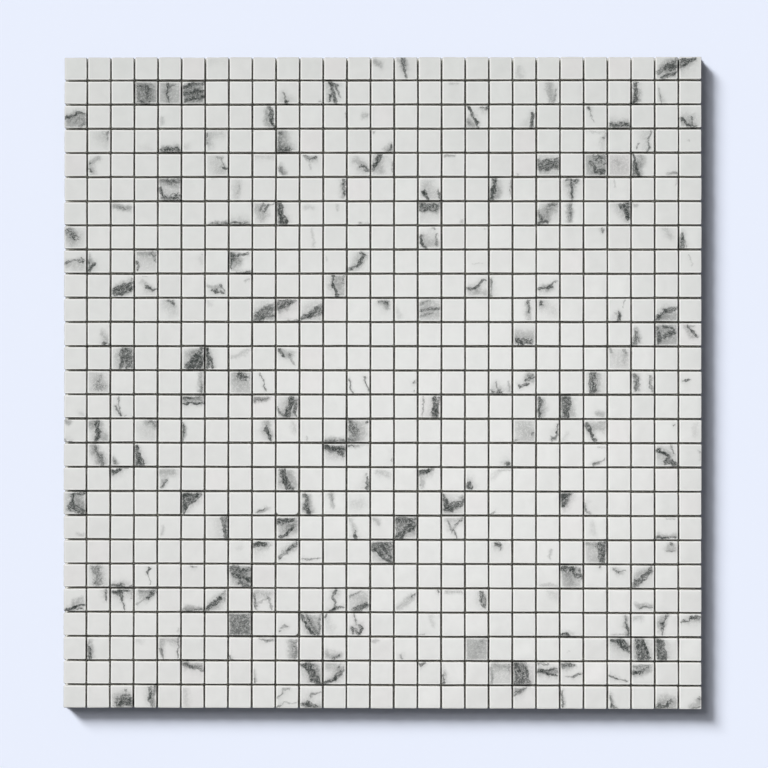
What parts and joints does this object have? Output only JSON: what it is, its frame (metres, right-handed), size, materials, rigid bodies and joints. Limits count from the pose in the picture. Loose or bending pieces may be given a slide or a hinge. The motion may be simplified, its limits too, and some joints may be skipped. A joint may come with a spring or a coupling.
{
  "type": "peel and stick backsplash tile",
  "caption": "Flat self-adhesive mosaic sheet of small square polished white marble chips in straight rows, with a peel-off liner on the back.",
  "frame": {"origin": "centre of the underside, on the release liner", "axes": "+Z out of the chips' polished faces, +Y up the columns, along the longer side, and +X along the rows, to the right as the faces are seen"},
  "size_m": [0.2984, 0.3048, 0.0049],
  "materials": {
    "marble_chip": "polished",
    "adhesive_backing": "matte",
    "liner_paper": "satin"
  },
  "bodies": {
    "root": {"release_liner": "liner_paper", "adhesive_mat": "adhesive_backing", "chip_row_01": "marble_chip", "chip_row_02": "marble_chip", "chip_row_03": "marble_chip", "chip_row_04": "marble_chip", "chip_row_05": "marble_chip", "chip_row_06": "marble_chip", "chip_row_07": "marble_chip", "chip_row_08": "marble_chip", "chip_row_09": "marble_chip", "chip_row_10": "marble_chip", "chip_row_11": "marble_chip", "chip_row_12": "marble_chip", "chip_row_13": "marble_chip", "chip_row_14": "marble_chip", "chip_row_15": "marble_chip", "chip_row_16": "marble_chip", "chip_row_17": "marble_chip", "chip_row_18": "marble_chip", "chip_row_19": "marble_chip", "chip_row_20": "marble_chip", "chip_row_21": "marble_chip", "chip_row_22": "marble_chip", "chip_row_23": "marble_chip", "chip_row_24": "marble_chip", "chip_row_25": "marble_chip", "chip_row_26": "marble_chip", "chip_row_27": "marble_chip"}
  },
  "joints": []
}
